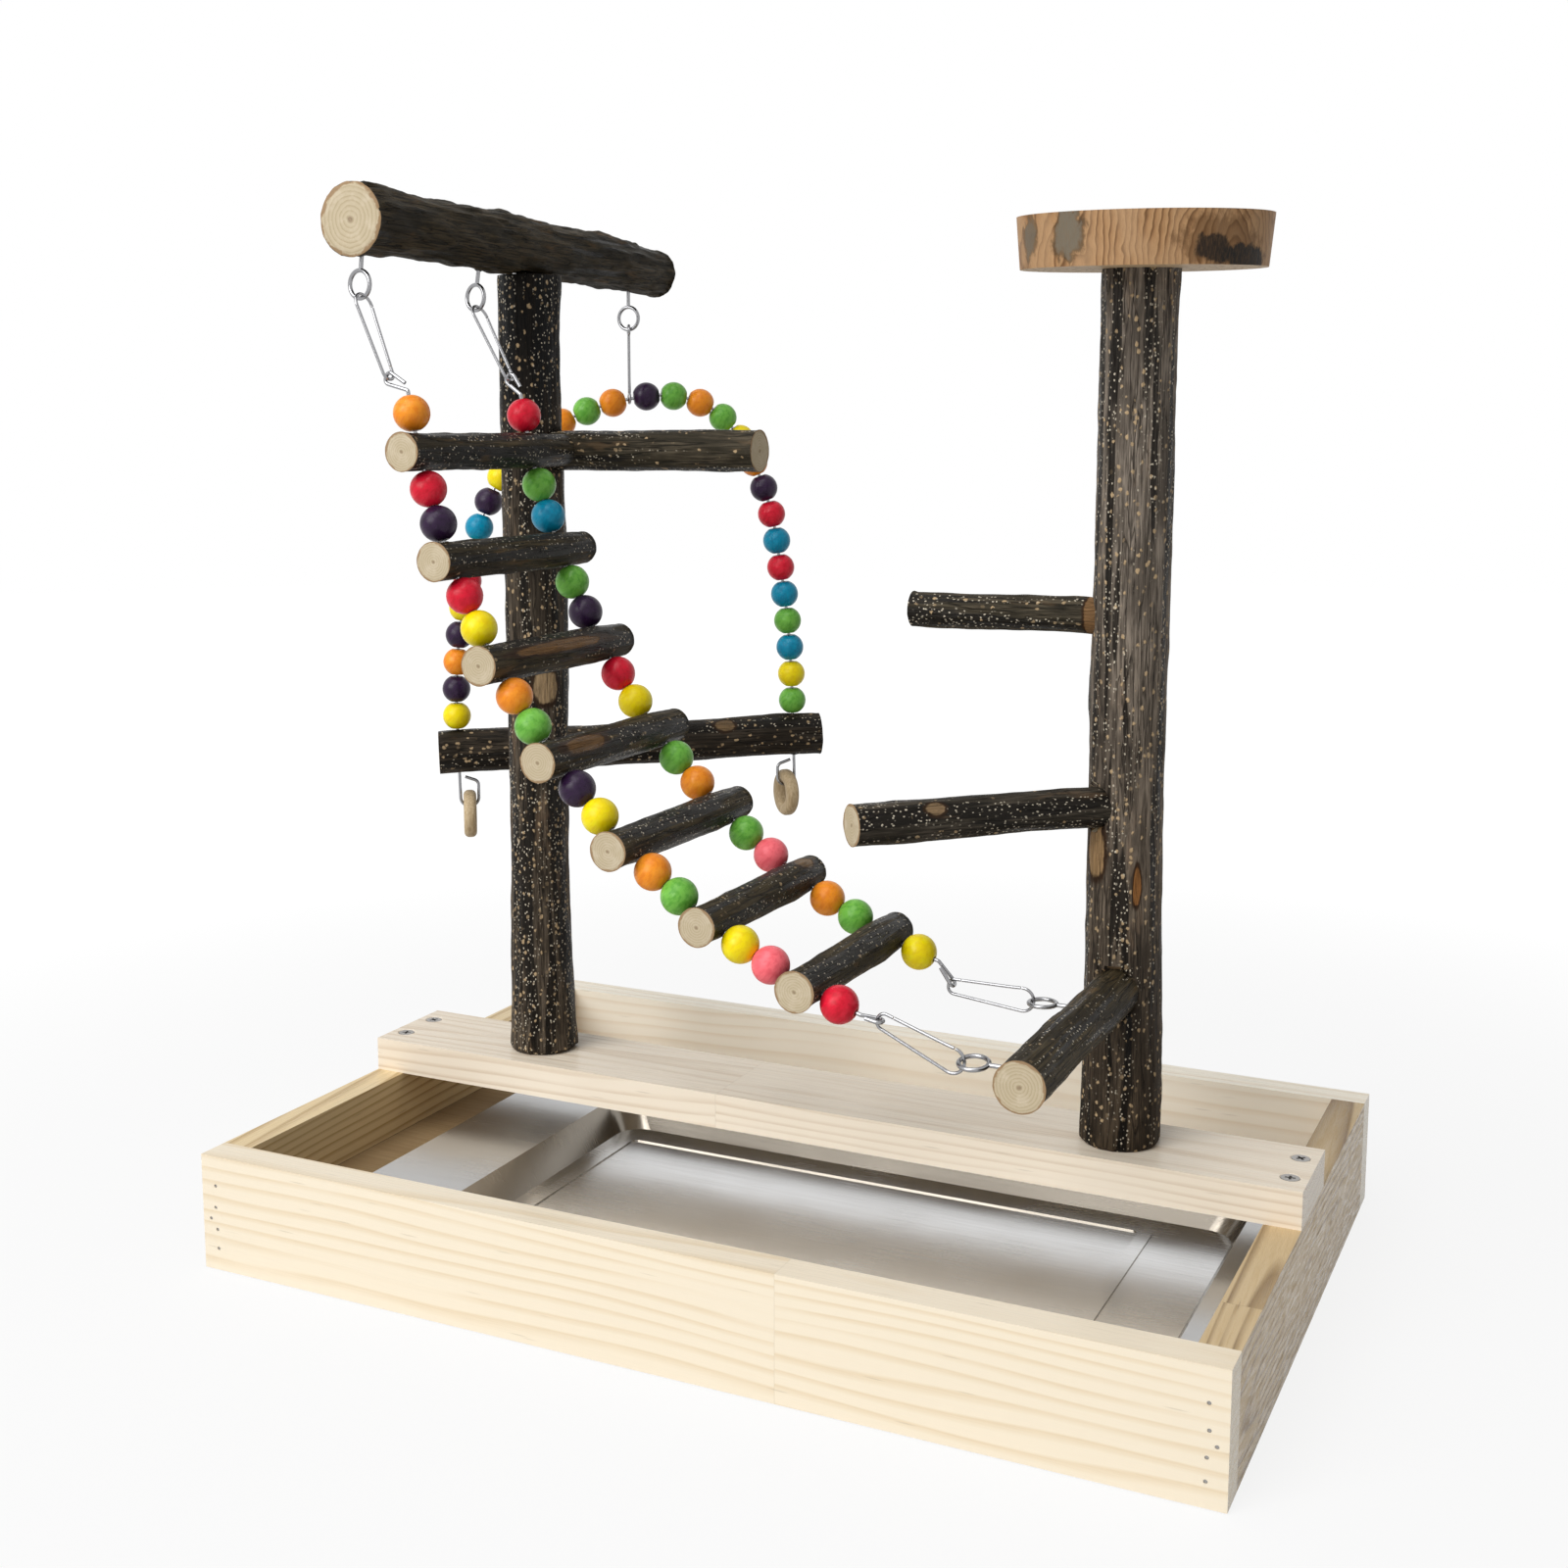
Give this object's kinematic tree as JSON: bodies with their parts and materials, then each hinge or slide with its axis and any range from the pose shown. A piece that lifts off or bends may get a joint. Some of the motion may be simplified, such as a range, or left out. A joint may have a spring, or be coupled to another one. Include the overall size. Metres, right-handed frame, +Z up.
{
  "type": "parrot play stand",
  "caption": "Tabletop parrot play stand: a low wooden box with a steel tray, two bark posts with perches and a platform, a bead ladder and a bead swing.",
  "frame": {"origin": "on the ground under the middle of the box; this is within 4 mm of the middle of the whole stand, whose swing overhangs at the back left", "axes": "+X to the right along the box's long side, +Y to the back, +Z up"},
  "size_m": [0.4568, 0.307, 0.4653],
  "materials": {
    "pine": "planed, unvarnished",
    "plywood": "sanded",
    "zinc_steel": "bright zinc",
    "bark": "dark ridged bark with pale cut ends",
    "platform_wood": "rough sawn slice",
    "stainless": "bright satin",
    "bright_wire": "polished",
    "ring_wood": "turned, unvarnished",
    "red_bead": "satin stain",
    "orange_bead": "satin stain",
    "yellow_bead": "satin stain",
    "green_bead": "satin stain",
    "blue_bead": "satin stain",
    "purple_bead": "satin stain",
    "pink_bead": "satin stain"
  },
  "bodies": {
    "stand": {"front_board": "pine", "back_board": "pine", "left_side_board": "pine", "right_side_board": "pine", "floor_panel": "plywood", "frame_nails": "zinc_steel", "cross_plank": "pine", "plank_screws": "zinc_steel", "post_screws": "zinc_steel", "left_post": "bark", "right_post": "bark", "top_perch": "bark", "round_platform": "platform_wood", "left_post_perch": "bark", "right_upper_perch": "bark", "right_middle_perch": "bark", "right_lower_perch": "bark", "perch_screws": "zinc_steel", "ladder_top_eyes": "bright_wire", "ladder_bottom_eyes": "bright_wire", "swing_eye": "bright_wire"},
    "tray": {"droppings_tray": "stainless"},
    "ladder": {"ladder_wire_near": "bright_wire", "ladder_wire_far": "bright_wire", "ladder_rung_1": "bark", "ladder_rung_2": "bark", "ladder_rung_3": "bark", "ladder_rung_4": "bark", "ladder_rung_5": "bark", "ladder_rung_6": "bark", "ladder_rung_7": "bark", "ladder_beads_red": "red_bead", "ladder_beads_orange": "orange_bead", "ladder_beads_yellow": "yellow_bead", "ladder_beads_green": "green_bead", "ladder_beads_blue": "blue_bead", "ladder_beads_purple": "purple_bead", "ladder_beads_pink": "pink_bead"},
    "top_hook_near": {"top_clip_near": "bright_wire"},
    "top_hook_near_gate": {"top_gate_near": "bright_wire"},
    "top_hook_far": {"top_clip_far": "bright_wire"},
    "top_hook_far_gate": {"top_gate_far": "bright_wire"},
    "bottom_hook_near": {"bottom_clip_near": "bright_wire"},
    "bottom_hook_near_gate": {"bottom_gate_near": "bright_wire"},
    "bottom_hook_far": {"bottom_clip_far": "bright_wire"},
    "bottom_hook_far_gate": {"bottom_gate_far": "bright_wire"},
    "swing_link": {"swing_hook": "bright_wire"},
    "swing": {"swing_wire": "bright_wire", "swing_perch": "bark", "swing_beads_red": "red_bead", "swing_beads_orange": "orange_bead", "swing_beads_yellow": "yellow_bead", "swing_beads_green": "green_bead", "swing_beads_blue": "blue_bead", "swing_beads_purple": "purple_bead"},
    "left_ring": {"swing_ring_left": "ring_wood"},
    "right_ring": {"swing_ring_right": "ring_wood"}
  },
  "joints": [
    {"name": "tray_slide", "type": "slide", "parent": "stand", "child": "tray", "axis": [1, 0, 0], "range_m": [-0.043, 0.0018]},
    {"name": "ladder_sway", "type": "slide", "parent": "stand", "child": "ladder", "axis": [0, 1, 0], "range_m": [-0.0055, 0.004], "stiffness_N_per_m": 40},
    {"name": "top_hook_near_turn", "type": "hinge", "parent": "stand", "child": "top_hook_near", "pos_m": [-0.14608, -0.122, 0.42033], "axis": [0.9285, 0, 0.3714], "range_deg": [-9.2, 6.8]},
    {"name": "top_hook_near_gate_flex", "type": "hinge", "parent": "top_hook_near", "child": "top_hook_near_gate", "pos_m": [-0.13442, -0.1187, 0.39117], "axis": [0.9285, 0, 0.3714], "range_deg": [0, 12], "stiffness_Nm_per_rad": 0.002},
    {"name": "top_hook_far_turn", "type": "hinge", "parent": "stand", "child": "top_hook_far", "pos_m": [-0.14644, -0.04, 0.42038], "axis": [0.8796, 0, 0.4756], "range_deg": [-9.2, 6.8]},
    {"name": "top_hook_far_gate_flex", "type": "hinge", "parent": "top_hook_far", "child": "top_hook_far_gate", "pos_m": [-0.13151, -0.0367, 0.39276], "axis": [0.8796, 0, 0.4756], "range_deg": [0, 12], "stiffness_Nm_per_rad": 0.002},
    {"name": "bottom_hook_near_turn", "type": "hinge", "parent": "stand", "child": "bottom_hook_near", "pos_m": [0.11763, -0.122, 0.13331], "axis": [-0.3795, 0, -0.9252], "range_deg": [-9.2, 6.8]},
    {"name": "bottom_hook_near_gate_flex", "type": "hinge", "parent": "bottom_hook_near", "child": "bottom_hook_near_gate", "pos_m": [0.08983, -0.122, 0.14828], "axis": [0, 1, 0], "range_deg": [0, 12], "stiffness_Nm_per_rad": 0.002},
    {"name": "bottom_hook_far_turn", "type": "hinge", "parent": "stand", "child": "bottom_hook_far", "pos_m": [0.11785, -0.04, 0.1356], "axis": [-0.0593, 0, -0.9982], "range_deg": [-9.2, 6.8]},
    {"name": "bottom_hook_far_gate_flex", "type": "hinge", "parent": "bottom_hook_far", "child": "bottom_hook_far_gate", "pos_m": [0.0867, -0.04, 0.14076], "axis": [0, 1, 0], "range_deg": [0, 12], "stiffness_Nm_per_rad": 0.002},
    {"name": "swing_rock", "type": "hinge", "parent": "stand", "child": "swing_link", "pos_m": [-0.144, 0.0907, 0.4166], "axis": [0.8141, 0.5807, 0], "range_deg": [-11, 40]},
    {"name": "swing_tilt", "type": "hinge", "parent": "swing_link", "child": "swing", "pos_m": [-0.144, 0.0907, 0.382], "axis": [0.5807, -0.8141, 0], "range_deg": [-12, 12]},
    {"name": "left_ring_swing", "type": "hinge", "parent": "swing", "child": "left_ring", "pos_m": [-0.21304, 0.04146, 0.1744], "axis": [0.8141, 0.5807, 0], "range_deg": [-35, 35]},
    {"name": "right_ring_swing", "type": "hinge", "parent": "swing", "child": "right_ring", "pos_m": [-0.07806, 0.13774, 0.1802], "axis": [0.6756, 0.7373, 0], "range_deg": [-35, 35]}
  ],
  "couplings": [
    {"joint": "top_hook_near_turn", "follows": "ladder_sway", "rad_per_m": 28.7},
    {"joint": "top_hook_far_turn", "follows": "ladder_sway", "rad_per_m": 28.7},
    {"joint": "bottom_hook_near_turn", "follows": "ladder_sway", "rad_per_m": 28.7},
    {"joint": "bottom_hook_far_turn", "follows": "ladder_sway", "rad_per_m": 28.7}
  ]
}
